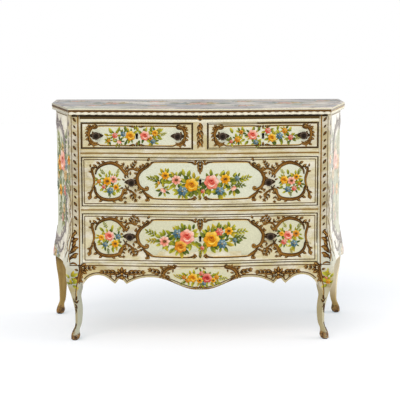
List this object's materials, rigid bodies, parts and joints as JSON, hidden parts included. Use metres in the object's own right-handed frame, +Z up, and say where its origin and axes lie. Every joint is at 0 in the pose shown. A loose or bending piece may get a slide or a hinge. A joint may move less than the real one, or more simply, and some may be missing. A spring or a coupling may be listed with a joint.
{
  "type": "bombe chest",
  "caption": "Painted bombe chest with two short and two long drawers, serpentine swelling front, canted sides, scalloped apron and cabriole legs.",
  "frame": {"origin": "centre of the underside of the whole chest, at floor level", "axes": "+X to the right across the front (the longest extent), +Y from the front to the back, +Z up; the drawers open towards -Y"},
  "size_m": [1.1542, 0.4978, 0.87],
  "materials": {
    "painted_wood": "aged cream and grey-green paint with floral sprays and gilded scrolls, satin",
    "bare_wood": "unfinished aged softwood",
    "dark_wood": "dark stained",
    "bronze": "dark patinated cast bronze",
    "iron": "dull dark iron"
  },
  "bodies": {
    "carcass": {"apron": "painted_wood", "back_panel": "bare_wood", "bottom_back_rail": "bare_wood", "bottom_board": "bare_wood", "bottom_front_rail": "bare_wood", "centre_divider": "painted_wood", "centre_runner": "bare_wood", "drawer_stops": "bare_wood", "edge_moulding": "painted_wood", "foot_glides": "dark_wood", "glue_blocks": "bare_wood", "left_front_leg": "painted_wood", "left_rear_leg": "painted_wood", "left_side_panel": "painted_wood", "lower_dust_board": "bare_wood", "lower_rail": "painted_wood", "right_front_leg": "painted_wood", "right_rear_leg": "painted_wood", "right_side_panel": "painted_wood", "side_guides": "bare_wood", "side_runners": "bare_wood", "top_back_rail": "bare_wood", "top_board": "painted_wood", "top_front_rail": "painted_wood", "top_kickers": "bare_wood", "top_screws": "iron", "upper_dust_boards": "bare_wood", "upper_rail": "painted_wood"},
    "top_left_drawer": {"top_left_drawer_back": "bare_wood", "top_left_drawer_bottom": "bare_wood", "top_left_drawer_front": "painted_wood", "top_left_drawer_knobs": "bronze", "top_left_drawer_left_side": "bare_wood", "top_left_drawer_lock": "iron", "top_left_drawer_right_side": "bare_wood"},
    "top_left_bolt": {"top_left_drawer_bolt": "iron"},
    "top_right_drawer": {"top_right_drawer_back": "bare_wood", "top_right_drawer_bottom": "bare_wood", "top_right_drawer_front": "painted_wood", "top_right_drawer_knobs": "bronze", "top_right_drawer_left_side": "bare_wood", "top_right_drawer_lock": "iron", "top_right_drawer_right_side": "bare_wood"},
    "top_right_bolt": {"top_right_drawer_bolt": "iron"},
    "middle_drawer": {"middle_drawer_back": "bare_wood", "middle_drawer_bottom": "bare_wood", "middle_drawer_front": "painted_wood", "middle_drawer_knobs": "bronze", "middle_drawer_left_side": "bare_wood", "middle_drawer_lock": "iron", "middle_drawer_right_side": "bare_wood"},
    "middle_bolt": {"middle_drawer_bolt": "iron"},
    "bottom_drawer": {"bottom_drawer_back": "bare_wood", "bottom_drawer_bottom": "bare_wood", "bottom_drawer_front": "painted_wood", "bottom_drawer_knobs": "bronze", "bottom_drawer_left_side": "bare_wood", "bottom_drawer_lock": "iron", "bottom_drawer_right_side": "bare_wood"},
    "bottom_bolt": {"bottom_drawer_bolt": "iron"}
  },
  "joints": [
    {"name": "top_left_drawer_slide", "type": "slide", "parent": "carcass", "child": "top_left_drawer", "axis": [0, -1, 0], "range_m": [0, 0.28]},
    {"name": "top_left_bolt_rise", "type": "slide", "parent": "top_left_drawer", "child": "top_left_bolt", "axis": [0, 0, 1], "range_m": [0, 0.007]},
    {"name": "top_right_drawer_slide", "type": "slide", "parent": "carcass", "child": "top_right_drawer", "axis": [0, -1, 0], "range_m": [0, 0.28]},
    {"name": "top_right_bolt_rise", "type": "slide", "parent": "top_right_drawer", "child": "top_right_bolt", "axis": [0, 0, 1], "range_m": [0, 0.007]},
    {"name": "middle_drawer_slide", "type": "slide", "parent": "carcass", "child": "middle_drawer", "axis": [0, -1, 0], "range_m": [0, 0.28]},
    {"name": "middle_bolt_rise", "type": "slide", "parent": "middle_drawer", "child": "middle_bolt", "axis": [0, 0, 1], "range_m": [0, 0.007]},
    {"name": "bottom_drawer_slide", "type": "slide", "parent": "carcass", "child": "bottom_drawer", "axis": [0, -1, 0], "range_m": [0, 0.28]},
    {"name": "bottom_bolt_rise", "type": "slide", "parent": "bottom_drawer", "child": "bottom_bolt", "axis": [0, 0, 1], "range_m": [0, 0.007]}
  ]
}
